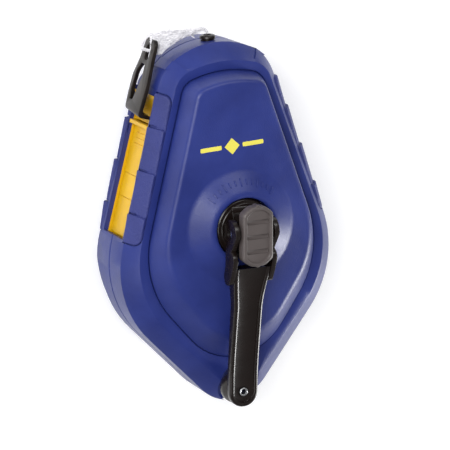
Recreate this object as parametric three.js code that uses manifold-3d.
// Chalk line reel: a pear-shaped clamshell case with a geared, fold-flat crank.
// Millimetres, +Z up. The reel lies on its flat rear face: +Z is the crank side, +Y points to the
// line mouth, +X is the right-hand side seen from the crank. The origin is on the crank axis, in the
// plane of the rear face. Ranges are written as [low, high] pairs.
import * as THREE from 'three';
import { mergeVertices } from 'three/addons/utils/BufferGeometryUtils.js';
import Module from 'manifold-3d';

const wasm = await Module();
wasm.setup();

// ---------------------------------------------------------------- driving dimensions
const CASE_DEPTH = 47.4;          // rear face to front panel
const PARTING = CASE_DEPTH / 2;
const WALL = 2.2;
const GAP = 0.3;                  // between touching pieces
const RUN = 0.1;                  // running clearance of a shaft in its bore
const FLANGE_DROP = 7.2;          // front panel down to the flange around it
const EDGE_DROP = 12.1;           // front panel down to where the side wall starts to round
const FLANGE_Z = CASE_DEPTH - FLANGE_DROP;
const EDGE_Z = CASE_DEPTH - EDGE_DROP;

// Each outline is a symmetric pear: crown, shoulder, hip and foot, as [x, y, corner radius].
const SIDE_WALL = [[0, 75.3, 31], [21.7, 57.4, 20.5], [48.2, -23.9, 39], [0, -79.4, 17]];
const FLANGE = [[0, 61.2, 40], [17.6, 56.2, 9], [41.6, -20.7, 36], [0, -68.6, 12]];
const PANEL_FOOT = [[0, 57.2, 40], [15.9, 53.6, 7], [38.4, -17.3, 36], [0, -66.5, 23]];
const PANEL_TOP = [[0, 54.4, 40], [13.6, 51.6, 5], [33.1, -10.9, 31], [0, -54.6, 18.7]];

const SPOOL_R = 21.6;
const CORE_R = 9;
const AXLE_R = 3;
const REAR_FLANGE_Z = 9.5;
const FRONT_FLANGE_Z = 24.6;
const SPOOL_FLANGE_T = 1.4;
const PLATE_Z = [27.2, 29.2];     // partition between the chalk chamber and the gears
const HOUSING_R = 21.7;           // wall around the gears

const MODULE = 0.7;               // gear tooth size
const SUN_TEETH = 24;
const PLANET_TEETH = 12;
const RING_TEETH = SUN_TEETH + 2 * PLANET_TEETH;
const GEAR_Z = 31;
const GEAR_T = 5.4;
const PLANETS = 3;
const PLANET_ORBIT = MODULE * (SUN_TEETH + PLANET_TEETH) / 2;
const PLANET_PIN_R = 1.5;
const RING_OUTER = 19.8;
const CARRIER_R = 15.8;
const CARRIER_Z = [38.6, 41];

const BOSS_R = 19.8;              // raised cone around the crank hub
const BOSS_H = 4.7;
const HUB_R = 10.9;
const HUB_HOLE_R = 11.3;
const HUB_TOP = CASE_DEPTH + 3.4;
const CRANK_REST = THREE.MathUtils.degToRad(-3.5);   // the stowed crank leans towards -X
const PIVOT_Z = CASE_DEPTH + 9.2;
const PIVOT_R = 1.5;
const ARM_REACH = 61.9;           // crank axis to knob axis
const ARM_HALF = 5.7;
const ROOT_HALF = 8.7;
const CHEEK_IN = 6.9;
const KNOB_R = 5.9;
const RIVET_R = 1.65;
const BUTTON_HALF = 6;
const CLUTCH_Y = 4.1;             // clutch pin, off the crank axis
const CLUTCH_R = 1.1;

const LINE_R = 0.65;
const MOUTH_Z = PARTING + 4.8;
const MOUTH_Y = 67.6;
const GUIDE_R = 3.6;

const CASE_SCREWS = [[9.5, 45.5], [-9.5, 45.5], [24.8, -5], [-24.8, -5], [9, -34], [-9, -34]];
const SCREW_R = 1.4;
const SCREW_HOLE_R = SCREW_R + GAP;
const SCREW_BOSS_R = 3;
const SCREW_HEAD_R = 2.5;
const SCREW_HEAD_Z = [0.9, 2.9];

const PAINT = {
  caseBlue: [0x2f3f86, 0.5, 0], gripBlue: [0x34458c, 0.85, 0], yellow: [0xe0a80c, 0.4, 0],
  crank: [0x1b1817, 0.3, 0], button: [0x5c5351, 0.5, 0], steel: [0xb8bcc2, 0.25, 1],
  hook: [0x2b2523, 0.35, 0.6], line: [0xf2f0ea, 0.9, 0], felt: [0xcfc9b8, 0.95, 0],
  gear: [0xd9d5c8, 0.55, 0], spool: [0x26282c, 0.5, 0], brass: [0xb5903c, 0.3, 1],
};
const paint = {};
for (const [name, [color, roughness, metalness]] of Object.entries(PAINT)) {
  paint[name] = new THREE.MeshStandardMaterial({ name, color, roughness, metalness });
}

// ---------------------------------------------------------------- solids and placing
const reel = new THREE.Group();

// A closed geometry as a Manifold, turned outside out if its triangles point inwards.
function toSolid(geometry, matrix) {
  geometry.deleteAttribute('normal');
  geometry.deleteAttribute('uv');
  const merged = mergeVertices(geometry, 1e-4);
  if (matrix) merged.applyMatrix4(matrix);
  const vertProperties = new Float32Array(merged.attributes.position.array);
  const index = merged.index.array;
  const triangles = [];
  for (let i = 0; i < index.length; i += 3) {
    const [a, b, c] = index.slice(i, i + 3);
    if (a !== b && b !== c && c !== a) triangles.push([a, b, c]);
  }
  const build = (list) => new wasm.Manifold(
    new wasm.Mesh({ numProp: 3, vertProperties, triVerts: new Uint32Array(list.flat()) }));
  const solid = build(triangles);
  return solid.volume() > 0 ? solid : build(triangles.map(([a, b, c]) => [b, a, c]));
}

function toGeometry(solid) {
  const mesh = solid.getMesh();
  const g = new THREE.BufferGeometry();
  g.setAttribute('position', new THREE.BufferAttribute(new Float32Array(mesh.vertProperties), 3));
  g.setIndex(new THREE.BufferAttribute(new Uint32Array(mesh.triVerts), 1));
  g.computeVertexNormals();
  return g;
}

function addPart(name, solid, material, parent = reel) {
  const mesh = new THREE.Mesh(toGeometry(solid), material);
  mesh.name = name;
  parent.add(mesh);
}

const shift = (x, y, z) => new THREE.Matrix4().makeTranslation(x, y, z);
const join = (first, ...rest) => rest.reduce((sum, s) => sum.add(s), first);
const cut = (first, ...rest) => rest.reduce((left, s) => left.subtract(s), first);
const grow = ([low, high], by) => [low - by, high + by];
const around = (middle, half) => [middle - half, middle + half];
const range = (count) => Array.from({ length: count }, (_, i) => i);
const onCircle = (r, angle) => [r * Math.cos(angle), r * Math.sin(angle)];

function box(x, y, z, matrix) {
  const g = new THREE.BoxGeometry(x[1] - x[0], y[1] - y[0], z[1] - z[0]);
  g.translate((x[0] + x[1]) / 2, (y[0] + y[1]) / 2, (z[0] + z[1]) / 2);
  return toSolid(g, matrix);
}

// Cylinders along Z, X and Y. The centre is given in the two other directions, in XYZ order.
function rod(r, z, [x, y] = [0, 0], sides = 24) {
  const g = new THREE.CylinderGeometry(r, r, z[1] - z[0], sides);
  g.rotateX(Math.PI / 2);
  g.translate(x, y, (z[0] + z[1]) / 2);
  return toSolid(g);
}

function rodX(r, x, [y, z], sides = 24) {
  const g = new THREE.CylinderGeometry(r, r, x[1] - x[0], sides);
  g.rotateZ(Math.PI / 2);
  g.translate((x[0] + x[1]) / 2, y, z);
  return toSolid(g);
}

function rodY(r, y, [x, z], sides = 20) {
  const g = new THREE.CylinderGeometry(r, r, y[1] - y[0], sides);
  g.translate(x, (y[0] + y[1]) / 2, z);
  return toSolid(g);
}

// A piece turned about Z: the profile is [radius, z] pairs around a closed loop.
function turned(profile, sides = 32, [x, y] = [0, 0], matrix = undefined) {
  const points = [...profile, profile[0]].map(([r, z]) => new THREE.Vector2(r, z));
  const g = new THREE.LatheGeometry(points, sides);
  g.rotateX(Math.PI / 2);
  g.translate(x, y, 0);
  return toSolid(g, matrix);
}

// A washer or sleeve: inner and outer radius, and its range along Z.
function sleeve([inner, outer], [low, high], sides, at) {
  return turned([[inner, low], [outer, low], [outer, high], [inner, high]], sides, at);
}

// A flat outline in XY, extruded along Z.
function prism(points, z, matrix) {
  const shape = new THREE.Shape(points.map(([x, y]) => new THREE.Vector2(x, y)));
  const g = new THREE.ExtrudeGeometry(shape, { depth: z[1] - z[0], bevelEnabled: false });
  g.translate(0, 0, z[0]);
  return toSolid(g, matrix);
}

// ---------------------------------------------------------------- pear outlines
// Moves every edge of a convex polygon inwards, then rounds each corner with an arc.
function pear(corners, inset = 0, steps = 4) {
  const mirrored = corners.slice(1, -1).map(([x, y, r]) => [-x, y, r]).reverse();
  const loop = [...corners, ...mirrored];
  const count = loop.length;
  const edges = loop.map(([x, y], i) => {
    const [nx, ny] = loop[(i + 1) % count];
    const length = Math.hypot(nx - x, ny - y);
    const inward = [(ny - y) / length, -(nx - x) / length];
    return { inward, offset: inward[0] * x + inward[1] * y + inset };
  });
  const points = [];
  for (let i = 0; i < count; i++) {
    const before = edges[(i + count - 1) % count];
    const after = edges[i];
    const [ax, ay] = before.inward;
    const [bx, by] = after.inward;
    const radius = Math.max(loop[i][2] - inset, 1);
    const p = before.offset + radius;
    const q = after.offset + radius;
    const det = ax * by - ay * bx;
    const [cx, cy] = [(p * by - q * ay) / det, (q * ax - p * bx) / det];
    const start = Math.atan2(-ay, -ax);
    let turn = Math.atan2(-by, -bx) - start;
    while (turn > Math.PI) turn -= 2 * Math.PI;
    while (turn < -Math.PI) turn += 2 * Math.PI;
    for (let k = 0; k <= steps; k++) {
      const angle = start + turn * k / steps;
      points.push([cx + radius * Math.cos(angle), cy + radius * Math.sin(angle)]);
    }
  }
  return points;
}

const blend = (a, b, t) => a.map(([x, y], i) => [x + (b[i][0] - x) * t, y + (b[i][1] - y) * t]);

// Stacks outlines with the same number of points, each at its own height, into one closed solid.
function stack(layers) {
  const n = layers[0].points.length;
  const position = layers.flatMap(({ points, z }) => points.flatMap(([x, y]) => [x, y, z]));
  const index = [];
  for (let k = 0; k + 1 < layers.length; k++) {
    for (let i = 0; i < n; i++) {
      const j = (i + 1) % n;
      const [a, b, c, d] = [k * n + i, k * n + j, (k + 1) * n + j, (k + 1) * n + i];
      index.push(a, b, c, a, c, d);
    }
  }
  const top = (layers.length - 1) * n;
  for (let i = 1; i + 1 < n; i++) index.push(0, i + 1, i, top, top + i, top + i + 1);
  const g = new THREE.BufferGeometry();
  g.setAttribute('position', new THREE.Float32BufferAttribute(position, 3));
  g.setIndex(index);
  return toSolid(g);
}

const column = (points, [low, high]) => stack([{ points, z: low }, { points, z: high }]);

const EDGE_STEPS = 3;             // facets in the rounded edge
const PANEL_CHAMFER = 0.6;        // along the panel's top edge

// Half of the case's outer form: straight side wall, rounded edge, flange, then the panel's bevel.
// The rear half is the front half mirrored about the parting plane.
function caseForm(inset, { from, panel = false, rear = false }) {
  const wall = pear(SIDE_WALL, inset);
  const flange = pear(FLANGE, inset);
  const layers = [{ points: wall, z: from }];
  for (let k = 0; k <= EDGE_STEPS; k++) {
    const angle = k / EDGE_STEPS * Math.PI / 2;
    const z = EDGE_Z + (FLANGE_Z - EDGE_Z) * Math.sin(angle) - inset;
    layers.push({ points: blend(wall, flange, 1 - Math.cos(angle)), z });
  }
  if (panel) {
    layers.push({ points: pear(PANEL_FOOT, inset), z: FLANGE_Z + 0.2 - inset });
    layers.push({ points: pear(PANEL_TOP, inset - 0.2), z: CASE_DEPTH - PANEL_CHAMFER - inset });
    layers.push({ points: pear(PANEL_TOP, inset + 0.5), z: CASE_DEPTH - inset });
  }
  if (!rear) return stack(layers);
  return stack(layers.map(({ points, z }) => ({ points, z: CASE_DEPTH - z })).reverse());
}

// The rear face is flat up to LEAN_Y, and leans inwards from there to the mouth.
const LEAN_Y = 12;
const LEAN = 0.15;
const rearFaceZ = (y) => Math.max(0, (y - LEAN_Y) * LEAN);

function leaningRear(inset, from = SEAM - inset) {
  const form = caseForm(inset, { from, panel: true, rear: true });
  const alongX = new THREE.Matrix4().set(0, 0, 1, 0, 1, 0, 0, 0, 0, 1, 0, 0, 0, 0, 0, 1);
  const [halfWidth, mouthEnd, below] = [60, 90, -20];
  const wedge = [[LEAN_Y, inset], [LEAN_Y, below], [mouthEnd, below], [mouthEnd, rearFaceZ(mouthEnd) + inset]];
  return cut(form, prism(wedge, around(0, halfWidth), alongX));
}

// ---------------------------------------------------------------- side frames and grips
// In a side frame X points out of the wall, Y runs along it and Z stays up.
const [SHOULDER_X, SHOULDER_Y] = SIDE_WALL[1];
const [HIP_X, HIP_Y] = SIDE_WALL[2];
const WALL_TILT = Math.atan2(HIP_X - SHOULDER_X, SHOULDER_Y - HIP_Y);
const SIDE_Y = 20;
const SIDE_X = SHOULDER_X + (SHOULDER_Y - SIDE_Y) * Math.tan(WALL_TILT);
const ALONG = Math.cos(WALL_TILT);
const turnedAboutZ = (angle) => new THREE.Matrix4().makeRotationZ(angle);
const leftFrame = shift(-SIDE_X, SIDE_Y, 0).multiply(turnedAboutZ(Math.PI - WALL_TILT));
const rightFrame = shift(SIDE_X, SIDE_Y, 0).multiply(turnedAboutZ(WALL_TILT));
const downLeft = (y) => (SIDE_Y - y) / ALONG;    // left frame's Y runs towards the foot
const upRight = (y) => (y - SIDE_Y) / ALONG;     // right frame's Y runs towards the mouth

const CHANNEL_Y = [downLeft(49), downLeft(-1.5)];
const CHANNEL_Z = around(PARTING, 8.7);
const GRIP_TOP = 50.5;
const GRIP_END = -2;
const GRIP_OUT = 0.4;
const GRIP_SINK = 0.7;
const LEFT_GRIP_Y = [downLeft(GRIP_TOP), downLeft(GRIP_END)];
const RIGHT_GRIP_Y = [upRight(GRIP_END), upRight(GRIP_TOP)];
const CUT_OUT = 4;                // how far side cutters reach outside the wall

const grips = [
  { name: 'left_grip_front', frame: leftFrame, y: LEFT_GRIP_Y, z: [34, 39.7], rear: false },
  { name: 'left_grip_rear', frame: leftFrame, y: LEFT_GRIP_Y, z: [7.7, 13.4], rear: true },
  { name: 'right_grip_front', frame: rightFrame, y: RIGHT_GRIP_Y, z: [25, 39.7], rear: false },
  { name: 'right_grip_rear', frame: rightFrame, y: RIGHT_GRIP_Y, z: [7.7, 22.4], rear: true },
];
const gripRegion = ({ frame, y, z }, by) => box([-6, CUT_OUT], grow(y, by), grow(z, by), frame);

function gripSkin(rear, outside, inside) {
  const from = PARTING - 2;
  return cut(caseForm(-outside, { from, rear }), caseForm(inside, { from, rear }));
}

// ---------------------------------------------------------------- case shells and front panel
const SEAM = PARTING + GAP / 2;
const AXLE_BOSS_R = 6;
const AXLE_START = 2.5;
const FELT_X = 7;
const FELT_Y = [52, 60];
const FELT_WALL = 1.2;

function openings(shell) {
  const channel = box([-9, CUT_OUT], CHANNEL_Y, CHANNEL_Z, leftFrame);
  const trayY = [CHANNEL_Y[0] - 1.6, CHANNEL_Y[1] + 12.6];
  const doorTray = box([-9, -2], trayY, grow(CHANNEL_Z, 1.9), leftFrame);
  const guideHole = rodY(GUIDE_R + GAP, [58, 70], [0, MOUTH_Z]);
  return cut(shell, doorTray, channel, guideHole);
}

function gripPockets(shell, rear) {
  const skin = gripSkin(rear, GRIP_OUT + 1, GRIP_SINK + GAP);
  const mine = grips.filter((grip) => grip.rear === rear);
  return cut(shell, ...mine.map((grip) => skin.intersect(gripRegion(grip, GAP))));
}

// Ribs on all four sides of a felt pad, as high as z says.
function feltPocket(z) {
  const outside = box(around(0, FELT_X + 2), [FELT_Y[0] - 1.8, FELT_Y[1] + 1.6], z);
  const inside = box(around(0, FELT_X + 0.4), [FELT_Y[0] - 0.4, FELT_Y[1] + 0.4], grow(z, 1));
  return cut(outside, inside);
}

function rearShell() {
  const inShell = leaningRear(0.5);
  const bosses = CASE_SCREWS.map((at) => rod(SCREW_BOSS_R, [1, PARTING - GAP], at, 12).intersect(inShell));
  const axleBoss = rod(AXLE_BOSS_R, [1, 7.5]);
  const felt = feltPocket([4, 21.4]).intersect(inShell);
  const shell = join(cut(leaningRear(0), leaningRear(WALL, PARTING - 5)), ...bosses, axleBoss, felt);
  const screwHoles = CASE_SCREWS.map((at) => rod(SCREW_HOLE_R, [-1, PARTING + 6], at, 10));
  const headRecesses = CASE_SCREWS.map((at) => {
    const end = SCREW_HEAD_Z[1] + GAP + rearFaceZ(at[1]);
    return rod(SCREW_HEAD_R + GAP, [-1, end], at, 14);
  });
  const axleBore = rod(AXLE_R + GAP, [AXLE_START, 12]);
  return gripPockets(openings(cut(shell, axleBore, ...screwHoles, ...headRecesses)), true);
}

// Fingertip relief under the knob of the stowed crank.
const SCOOP_Y = -62.6;
const SCOOP_R = 8.2;
const SCOOP_FLOOR = 31;

function frontShell() {
  const form = caseForm(0, { from: SEAM });
  const panelHole = column(pear(PANEL_FOOT, 3), [PARTING, CASE_DEPTH]);
  const ribs = feltPocket([26.4, 37.2]).intersect(caseForm(0.5, { from: PARTING }));
  const shell = join(cut(form, caseForm(WALL, { from: PARTING - 5 }), panelHole), ribs);
  const scoopWall = rod(SCOOP_R + 1.6, [SCOOP_FLOOR - 2, CASE_DEPTH], [0, SCOOP_Y], 20).intersect(form);
  const scoop = rod(SCOOP_R, [SCOOP_FLOOR, CASE_DEPTH + 1], [0, SCOOP_Y], 20);
  return gripPockets(openings(cut(join(shell, scoopWall), scoop)), false);
}

function frontPanel() {
  const foot = FLANGE_Z + GAP;
  const outer = stack([
    { points: pear(PANEL_FOOT), z: foot },
    { points: pear(PANEL_TOP, -0.2), z: CASE_DEPTH - PANEL_CHAMFER },
    { points: pear(PANEL_TOP, 0.5), z: CASE_DEPTH },
  ]);
  const inner = stack([
    { points: pear(PANEL_FOOT, WALL), z: foot - 5 },
    { points: pear(PANEL_FOOT, WALL), z: foot + 0.5 },
    { points: pear(PANEL_TOP, WALL - 0.2), z: CASE_DEPTH - WALL },
  ]);
  const lipOutside = stack([
    { points: pear(PANEL_FOOT, 3 + GAP), z: 37.6 },
    { points: pear(PANEL_FOOT, 3 + GAP), z: foot + 0.1 },
    { points: pear(PANEL_FOOT, 1.5), z: foot + 1 },
  ]);
  const lipInside = stack([
    { points: pear(PANEL_FOOT, 4.8), z: 37 },
    { points: pear(PANEL_FOOT, 3.6), z: foot + 2 },
  ]);
  const bearingR = HUB_HOLE_R + 2;
  const coneTop = CASE_DEPTH + BOSS_H;
  const cone = turned([[0, 44], [BOSS_R, 44], [BOSS_R, CASE_DEPTH], [HUB_HOLE_R + 2.4, coneTop - 0.5],
    [HUB_HOLE_R + 1.2, coneTop], [0, coneTop]], 36);
  const underCone = turned([[bearingR, 40], [BOSS_R - 2.4, 40], [BOSS_R - 2.4, CASE_DEPTH - 2],
    [bearingR, CASE_DEPTH + 1.2]], 36);
  const housing = rod(HOUSING_R, [PLATE_Z[1] + GAP, 46], [0, 0], 36);
  const ringBore = rod(RING_OUTER + GAP, [29, CASE_DEPTH - WALL], [0, 0], 36);
  const bearing = rod(bearingR, [42, 50], [0, 0], 36);
  const bosses = CASE_SCREWS.map((at) => rod(SCREW_BOSS_R, [PARTING + GAP, 46], at, 12));
  const pilots = CASE_SCREWS.map((at) => rod(SCREW_HOLE_R, [20, 35], at, 10));
  const lip = cut(lipOutside, lipInside);
  const shell = join(cut(outer, inner), cut(join(cone, housing), ringBore), lip, ...bosses);
  const hubHole = rod(HUB_HOLE_R, [40, 60], [0, 0], 36);
  return cut(join(cut(shell, underCone), bearing), hubHole, ...pilots);
}

function caseScrew([x, y]) {
  const [low, high] = SCREW_HEAD_Z.map((z) => z + rearFaceZ(y));
  const z = [low - 0.9, low + 0.9];
  const cross = join(box(around(x, 1.6), around(y, 0.4), z), box(around(x, 0.4), around(y, 1.6), z));
  const shank = rod(SCREW_R, [high - 0.4, 33], [x, y], 8);
  return cut(join(rod(SCREW_HEAD_R, [low, high], [x, y], 14), shank), cross);
}

addPart('rear_shell', rearShell(), paint.caseBlue);
addPart('front_shell', frontShell(), paint.caseBlue);
addPart('front_panel', frontPanel(), paint.caseBlue);
for (const grip of grips) {
  addPart(grip.name, gripSkin(grip.rear, GRIP_OUT, GRIP_SINK).intersect(gripRegion(grip, 0)), paint.gripBlue);
}
CASE_SCREWS.forEach((at, i) => addPart(`case_screw_${i + 1}`, caseScrew(at), paint.steel));

// ---------------------------------------------------------------- line mouth
function mouthGuide() {
  const bore = LINE_R + 0.9;
  const rim = GUIDE_R + 0.9;
  const alongY = shift(0, 0, MOUTH_Z).multiply(new THREE.Matrix4().makeRotationX(-Math.PI / 2));
  const profile = [[bore, 62], [GUIDE_R, 62], [GUIDE_R, MOUTH_Y - 1.3], [rim, MOUTH_Y - 1.3],
    [rim, MOUTH_Y - 0.4], [GUIDE_R, MOUTH_Y], [bore + 0.6, MOUTH_Y], [bore, MOUTH_Y - 0.7]];
  return turned(profile, 16, [0, 0], alongY);
}

const feltPad = (z) => box(around(0, FELT_X), FELT_Y, z);
const LINE_SLOT = 1.1;            // each pad stays this far from the line
addPart('mouth_guide', mouthGuide(), paint.crank);
addPart('felt_pad_front', feltPad([MOUTH_Z + LINE_SLOT, 36]), paint.felt);
addPart('felt_pad_rear', feltPad([15, MOUTH_Z - LINE_SLOT]), paint.felt);

// ---------------------------------------------------------------- chalk door, in the left frame
const DOOR_OUT = -3.4;            // the door's outer face
const DOOR_T = 1.5;
const DOOR_TRAVEL = 10;
const TAB_TOP = downLeft(38.6);
const PORT_Y = [TAB_TOP + 1.6, TAB_TOP + DOOR_TRAVEL - 0.4];
const FLOOR_OUT = DOOR_OUT - DOOR_T - GAP;

function doorTrack() {
  const trayEnd = CHANNEL_Y[1] + DOOR_TRAVEL + 1.6;
  const body = box([FLOOR_OUT - 1.2, -2.6], [CHANNEL_Y[0] - 1.2, trayEnd], grow(CHANNEL_Z, 1.5), leftFrame);
  const hollow = box([FLOOR_OUT, 0], [CHANNEL_Y[0], trayEnd + 2], CHANNEL_Z, leftFrame);
  const port = box([-12, 0], PORT_Y, around(PARTING, 6), leftFrame);
  const stepY = [CHANNEL_Y[0] - 0.6, TAB_TOP - 0.4];
  const step = box([FLOOR_OUT - 0.6, DOOR_OUT], stepY, grow(CHANNEL_Z, 0.6), leftFrame);
  const clawRelief = box([FLOOR_OUT, 0], [CHANNEL_Y[0], TAB_TOP - 2], CHANNEL_Z, leftFrame);
  return cut(join(cut(body, hollow), step), port, clawRelief);
}

function fillDoor() {
  const across = grow(CHANNEL_Z, -GAP);
  const strip = box([DOOR_OUT - DOOR_T, DOOR_OUT], [TAB_TOP, CHANNEL_Y[1] - 0.4], across, leftFrame);
  const tab = box([DOOR_OUT - 0.5, 0.5], [TAB_TOP, TAB_TOP + 1.5], across, leftFrame);
  const ribs = range(3).map((i) => {
    const start = TAB_TOP + 4 + 2 * i;
    return box([DOOR_OUT - 0.5, DOOR_OUT + 0.35], [start, start + 0.8], around(PARTING, 5), leftFrame);
  });
  return join(strip, tab, ...ribs);
}

addPart('door_track', doorTrack(), paint.yellow);
addPart('fill_door', fillDoor(), paint.yellow);

// ---------------------------------------------------------------- gears
const PRESSURE_ANGLE = THREE.MathUtils.degToRad(20);
const ADDENDUM = 0.8;             // tooth above and below the pitch circle, in modules
const DEDENDUM = 1.15;
const SLACK = 0.09;               // taken off each tooth at the pitch circle

// Involute teeth with three points on each flank, or two on a ring's.
function gearOutline(teeth, { turn = 0, inner = false } = {}) {
  const pitch = MODULE * teeth / 2;
  const base = pitch * Math.cos(PRESSURE_ANGLE);
  const involute = (r) => (r <= base ? 0 : Math.sqrt((r / base) ** 2 - 1) - Math.acos(base / r));
  const low = pitch - MODULE * (inner ? ADDENDUM : DEDENDUM);
  const high = pitch + MODULE * (inner ? DEDENDUM : ADDENDUM);
  const halfTooth = Math.PI / (2 * teeth) + (inner ? 1 : -1) * SLACK / pitch;
  const radii = inner ? [low, high] : [low, Math.max(pitch, base), high];
  const flank = radii.map((r) => [r, halfTooth + involute(pitch) - involute(r)]);
  return range(teeth).flatMap((i) => {
    const centre = turn + i * 2 * Math.PI / teeth;
    const rising = flank.map(([r, a]) => onCircle(r, centre - a));
    const falling = flank.map(([r, a]) => onCircle(r, centre + a)).reverse();
    return [...rising, ...falling];
  });
}

const planetAngle = (i) => Math.PI / 2 + i * 2 * Math.PI / PLANETS;
const planetPlace = (i) => onCircle(PLANET_ORBIT, planetAngle(i));
const GEAR_RANGE = [GEAR_Z, GEAR_Z + GEAR_T];

function sunGear() {
  const teeth = prism(gearOutline(SUN_TEETH, { turn: Math.PI / SUN_TEETH }), GEAR_RANGE);
  return cut(teeth, rod(AXLE_R + RUN, grow(GEAR_RANGE, 5), [0, 0], 32));
}

function ringGear() {
  const blank = rod(RING_OUTER, GEAR_RANGE, [0, 0], 36);
  return cut(blank, prism(gearOutline(RING_TEETH, { inner: true }), grow(GEAR_RANGE, 1)));
}

function planetGear(i) {
  const at = planetPlace(i);
  const outline = gearOutline(PLANET_TEETH, { turn: planetAngle(i) });
  const teeth = prism(outline, grow(GEAR_RANGE, -0.2), shift(...at, 0));
  return cut(teeth, rod(PLANET_PIN_R + RUN, grow(GEAR_RANGE, 5), at, 20));
}

addPart('sun_gear', sunGear(), paint.brass);
addPart('ring_gear', ringGear(), paint.gear);
for (const i of range(PLANETS)) {
  const pin = rod(PLANET_PIN_R, [GEAR_Z - 0.4, CARRIER_Z[1] - 0.4], planetPlace(i), 20);
  addPart(`planet_gear_${i + 1}`, planetGear(i), paint.gear);
  addPart(`planet_pin_${i + 1}`, pin, paint.steel);
}

// ---------------------------------------------------------------- spool and winding
const SPOOL_NECK_R = 6.5;         // passes through the partition to the sun gear
const WINDING_R = 18.2;

function spool() {
  const rearTop = REAR_FLANGE_Z + SPOOL_FLANGE_T;
  const frontTop = FRONT_FLANGE_Z + SPOOL_FLANGE_T;
  const body = turned([[AXLE_R + RUN, REAR_FLANGE_Z], [SPOOL_R, REAR_FLANGE_Z], [SPOOL_R, rearTop],
    [CORE_R, rearTop], [CORE_R, FRONT_FLANGE_Z], [SPOOL_R, FRONT_FLANGE_Z], [SPOOL_R, frontTop],
    [SPOOL_NECK_R, frontTop], [SPOOL_NECK_R, GEAR_Z - GAP], [AXLE_R + RUN, GEAR_Z - GAP]], 32);
  const chalkHoles = range(6).map((i) => rod(1.4, [5, 15], onCircle(20, (i + 0.5) * Math.PI / 3), 8));
  return cut(body, ...chalkHoles);
}

function lineWinding() {
  const low = REAR_FLANGE_Z + SPOOL_FLANGE_T + GAP;
  const high = FRONT_FLANGE_Z - GAP;
  return turned([[CORE_R + GAP, low], [WINDING_R - 0.8, low], [WINDING_R, low + 1], [WINDING_R, high - 1],
    [WINDING_R - 0.8, high], [CORE_R + GAP, high]], 28);
}

addPart('spool_axle', rod(AXLE_R, [AXLE_START, GEAR_RANGE[1] + 0.6], [0, 0], 32), paint.steel);
addPart('rear_bush', sleeve([AXLE_R + GAP, AXLE_BOSS_R], [7.8, REAR_FLANGE_Z - GAP], 20), paint.brass);
addPart('spool', spool(), paint.spool);
addPart('line_winding', lineWinding(), paint.line);
addPart('gear_plate', sleeve([8.6, HOUSING_R], PLATE_Z, 28), paint.gear);
addPart('partition_seal', sleeve([SPOOL_NECK_R + GAP, 8.3], PLATE_Z, 20), paint.felt);

// ---------------------------------------------------------------- crank: hub and clutch
const crank = new THREE.Group();
crank.rotation.z = CRANK_REST;
reel.add(crank);

const CARRIER_SCREW_R = 1.2;
const HUB_BOTTOM = CARRIER_Z[1] + GAP;
const CLUTCH_COLLAR_Z = [47.5, 48.3];
const CLUTCH_SPRING_Z = [CLUTCH_COLLAR_Z[1] + GAP, 52.7];
const CLUTCH_CHAMBER_R = 2.3;

function planetCarrier() {
  const through = grow(CARRIER_Z, 1);
  const pinHoleZ = [through[0], CARRIER_Z[1] - 0.2];
  const pinHoles = range(PLANETS).map((i) => rod(PLANET_PIN_R + GAP, pinHoleZ, planetPlace(i), 16));
  const clutchPlace = onCircle(CLUTCH_Y, Math.PI / 2 + CRANK_REST);
  const clutchHole = rod(CLUTCH_R + GAP, through, clutchPlace, 16);
  const screwHole = rod(CARRIER_SCREW_R + GAP, through, [0, 0], 16);
  return cut(rod(CARRIER_R, CARRIER_Z, [0, 0], 28), ...pinHoles, clutchHole, screwHole);
}

function crankHub() {
  const drum = rod(HUB_R, [HUB_BOTTOM, HUB_TOP], [0, 0], 36);
  const raised = rod(9, [HUB_TOP - 1, HUB_TOP + 0.3]);
  const post = box([-5, 5], [-6.5, 6.5], [HUB_TOP - 1, CASE_DEPTH + 12.6]);
  const clutchBore = rod(CLUTCH_R + GAP, [HUB_BOTTOM - 1, CASE_DEPTH + 20], [0, CLUTCH_Y], 16);
  const clutchChamber = rod(CLUTCH_CHAMBER_R, [HUB_BOTTOM + 4, CLUTCH_SPRING_Z[1] + GAP], [0, CLUTCH_Y], 20);
  const screwBore = rod(CARRIER_SCREW_R + GAP, [HUB_BOTTOM - 1, HUB_BOTTOM + 6], [0, 0], 16);
  const pivotBore = rodX(PIVOT_R + GAP, [-20, 20], [0, PIVOT_Z]);
  return cut(join(drum, raised, post), clutchBore, clutchChamber, screwBore, pivotBore);
}

function clutchPin() {
  const pin = rod(CLUTCH_R, [CARRIER_Z[0] + 1.2, CASE_DEPTH + 10.8], [0, CLUTCH_Y], 16);
  return join(pin, rod(CLUTCH_CHAMBER_R - GAP, CLUTCH_COLLAR_Z, [0, CLUTCH_Y], 16));
}

function carrierScrew() {
  return join(rod(2.4, [37, CARRIER_Z[0] - GAP]), rod(CARRIER_SCREW_R, [38, HUB_BOTTOM + 4.7], [0, 0], 16));
}

function releaseButton() {
  const [back, front] = [10.4, -11.6];
  const corner = 3.2;
  const quarter = [[BUTTON_HALF, corner], [BUTTON_HALF - 1.8, 0.9], [0, 0]];
  const end = (y, inward) => [...quarter.map(([x, d]) => [x, y + inward * d]),
    ...quarter.slice(0, -1).reverse().map(([x, d]) => [-x, y + inward * d])];
  const outline = [...end(front, 1), ...end(back, -1).reverse()];
  const top = CASE_DEPTH + 15.1;
  const body = prism(outline, [CASE_DEPTH + 11, top]);
  const dish = box([-5, 5], [front + 2.6, back - 2.4], [top - 0.6, top + 1]);
  const ribs = [-5.6, 0.4, 6.4].map((y) => box([-5.2, 5.2], [y - 1, y - 0.2], [top - 0.8, top - 0.1]));
  const pocket = box([-5.3, 5.3], [-9.1, 6.9], [CASE_DEPTH + 10, CASE_DEPTH + 12.9]);
  return cut(join(cut(body, dish), ...ribs), pocket);
}

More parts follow.
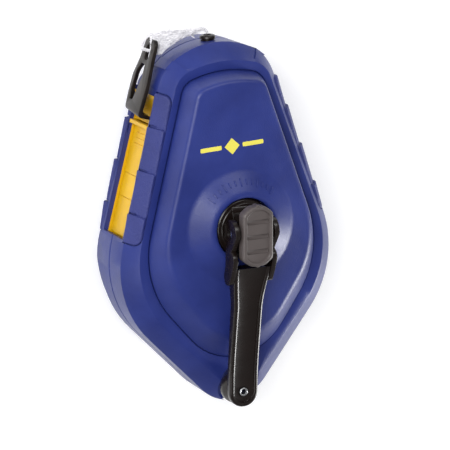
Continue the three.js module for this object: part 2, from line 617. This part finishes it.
addPart('crank_hub', crankHub(), paint.crank, crank);
addPart('planet_carrier', planetCarrier(), paint.gear);
addPart('carrier_screw', carrierScrew(), paint.steel);
addPart('hinge_pin', rodX(PIVOT_R, [-8.3, 8.3], [0, PIVOT_Z]), paint.steel, crank);
addPart('release_button', releaseButton(), paint.button, crank);
addPart('clutch_pin', clutchPin(), paint.steel, crank);
addPart('clutch_spring', sleeve([CLUTCH_R + GAP, CLUTCH_CHAMBER_R - GAP], CLUTCH_SPRING_Z, 16, [0, CLUTCH_Y]),
  paint.steel, crank);

// ---------------------------------------------------------------- crank: folding arm and knob
// Side profile of the arm: [distance towards the tip, height above the front panel].
const ARM_TOP = [[0, 14.3], [8, 13.6], [14.5, 10.6], [24, 8], [47, 4.6], [55, 3.6], [71.2, 3.4]];
const ARM_UNDER = [[71.2, 0.2], [56, 0.2], [53, 0.6], [24, 3.9], [19, 3.2], [12.5, 5.1], [0, 5.1]];
const ARM_DISH = [[19, 20], [19, 8.5], [24, 7.2], [47, 3.8], [55, 2.8], [69, 2.6], [69, 20]];
const DISH_HALF = 4.1;
const CHEEK_R = 5.2;
const YOKE_R = 14.4;              // room for the hub's post and the button between the cheeks

// Half of the arm's outline: [distance towards the tip, half width].
const ARM_EDGE = [[-6, ROOT_HALF], [17, ROOT_HALF], [20, 7.6], [23.5, 6.3], [28, ARM_HALF],
  [ARM_REACH, ARM_HALF]];

// Extrudes a side profile across X, from -half to half.
function sideProfile(profile, half) {
  const acrossX = new THREE.Matrix4().set(0, 0, 1, 0, -1, 0, 0, 0, 0, 1, 0, CASE_DEPTH, 0, 0, 0, 1);
  return prism(profile, [-half, half], acrossX);
}

function armPlan() {
  const tip = range(7).map((k) => {
    const a = (k + 1) / 8 * Math.PI;
    return [ARM_REACH + ARM_HALF * Math.sin(a), ARM_HALF * Math.cos(a)];
  });
  const far = ARM_EDGE.map(([d, w]) => [d, -w]).reverse();
  return [...ARM_EDGE, ...tip, ...far].map(([d, w]) => [w, -d]);
}

function crankArm() {
  const knuckle = rodX(CHEEK_R, [-ROOT_HALF, ROOT_HALF], [0, PIVOT_Z], 20);
  const side = join(sideProfile([...ARM_TOP, ...ARM_UNDER], ROOT_HALF), knuckle);
  const arm = side.intersect(prism(armPlan(), around(CASE_DEPTH, 20)));
  const yoke = rodX(YOKE_R, [-CHEEK_IN, CHEEK_IN], [0, PIVOT_Z], 32);
  const pinBore = rodX(PIVOT_R + RUN, [-20, 20], [0, PIVOT_Z]);
  const rivetBore = rod(RIVET_R + GAP, around(CASE_DEPTH, 10), [0, -ARM_REACH], 20);
  return cut(arm, yoke, sideProfile(ARM_DISH, DISH_HALF), pinBore, rivetBore);
}

const KNOB_Z = [CASE_DEPTH - 6.9, CASE_DEPTH - 0.1];

function crankKnob() {
  const [end, top] = KNOB_Z;
  const bore = RIVET_R + RUN;
  const recess = RIVET_R + 1.45;
  const profile = [[bore, top], [4.6, top], [5.2, top - 1.2], [KNOB_R, top - 2.6], [KNOB_R, top - 4.6],
    [5.2, end + 0.5], [4.4, end], [recess, end], [recess, end + 1.5], [bore, end + 1.5]];
  return turned(profile, 20, [0, -ARM_REACH]);
}

function knobRivet() {
  const hollow = 0.9;
  const head = [KNOB_Z[0] + 0.3, KNOB_Z[0] + 1.2];
  const top = CASE_DEPTH + 3.2;
  return turned([[hollow, head[0]], [2.8, head[0]], [2.8, head[1]], [RIVET_R, head[1]], [RIVET_R, top],
    [hollow, top]], 16, [0, -ARM_REACH]);
}

addPart('crank_arm', crankArm(), paint.crank, crank);
addPart('crank_knob', crankKnob(), paint.crank, crank);
addPart('knob_rivet', knobRivet(), paint.steel, crank);

// ---------------------------------------------------------------- hook, in the left frame
const HOOK_X = [1.4, 3];          // the hook's plate stands this far off the wall
const HOOK_T = HOOK_X[1] - HOOK_X[0];
const HOOK_END = downLeft(42.4);
const HOOK_TOP = HOOK_END - 26.7;
const EYE_R = 1.7;
const EYE_STRETCH = 1.3;
const CLAW_IN = -2.4;
const CLAW_HALF = 6.2;
const HOOK_Z = PARTING + 0.2;
const HOOK_LEAN = THREE.MathUtils.degToRad(5.5);     // the line pulls the eye towards the mouth
const hookFrame = leftFrame.clone().multiply(shift(0, HOOK_END, HOOK_Z))
  .multiply(new THREE.Matrix4().makeRotationX(-HOOK_LEAN)).multiply(shift(0, -HOOK_END, 0));

// Half of the plate's outline: [place along the wall, half width].
const HOOK_EDGE = [[HOOK_TOP, 2.6], [HOOK_TOP + 1.4, 3.9], [HOOK_TOP + 7, 4.2], [HOOK_END - 9, 5.4],
  [HOOK_END, CLAW_HALF]];
const HOOK_SLOT = [[HOOK_TOP + 10.4, 0.8], [HOOK_TOP + 10.4, -0.8], [HOOK_END - 3, -2.6],
  [HOOK_END - 3, 2.6]];

// Extrudes an outline of [place along the wall, offset across it] out of the left wall.
function hookPlate(points, x) {
  const alongWall = new THREE.Matrix4().set(0, 0, 1, 0, 1, 0, 0, 0, 0, 1, 0, 0, 0, 0, 0, 1);
  return prism(points, x, new THREE.Matrix4().multiplyMatrices(hookFrame, alongWall));
}

function hook() {
  const outline = [...HOOK_EDGE, ...HOOK_EDGE.map(([s, w]) => [s, -w]).reverse()];
  const eye = range(16).map((k) => {
    const a = k / 16 * 2 * Math.PI;
    return [HOOK_TOP + 5 + Math.sign(Math.cos(a)) * EYE_STRETCH + EYE_R * Math.cos(a), EYE_R * Math.sin(a)];
  });
  const through = grow(HOOK_X, 2);
  const plate = cut(hookPlate(outline, HOOK_X), hookPlate(eye, through), hookPlate(HOOK_SLOT, through));
  const clawY = [HOOK_END - 0.2, HOOK_END + HOOK_T - 0.2];
  return join(plate, box([CLAW_IN, HOOK_X[1]], clawY, around(0, CLAW_HALF), hookFrame));
}

addPart('hook', hook(), paint.hook);

// ---------------------------------------------------------------- free end of the line
// Out of the mouth, along the crown, over the hook's top bar, through its eye and back to the mouth.
const LINE_POINTS = [
  [0, 68.2, 28.5], [-1.2, 69.7, 28.9], [-4.5, 70.3, 29.2], [-11, 70.6, 28.7], [-17, 70.9, 27.9],
  [-21.6, 70.4, 27.1], [-24.6, 68, 26.6], [-24.9, 65.7, 26.2], [-23.4, 64.7, 26.2], [-21.8, 64.2, 26.2],
  [-19.9, 63.6, 26.2], [-17.4, 63.6, 25.9], [-14.2, 65.4, 25.6], [-9, 67.6, 26], [-5.4, 68.6, 26.4],
];

function lineLead() {
  const path = new THREE.CatmullRomCurve3(LINE_POINTS.map((p) => new THREE.Vector3(...p)));
  const section = new THREE.Shape(range(8).map((k) => {
    const a = k / 8 * 2 * Math.PI;
    return new THREE.Vector2(LINE_R * Math.cos(a), LINE_R * Math.sin(a));
  }));
  return toSolid(new THREE.ExtrudeGeometry(section, { steps: 30, bevelEnabled: false, extrudePath: path }));
}

addPart('line_lead', lineLead(), paint.line);

export default reel;
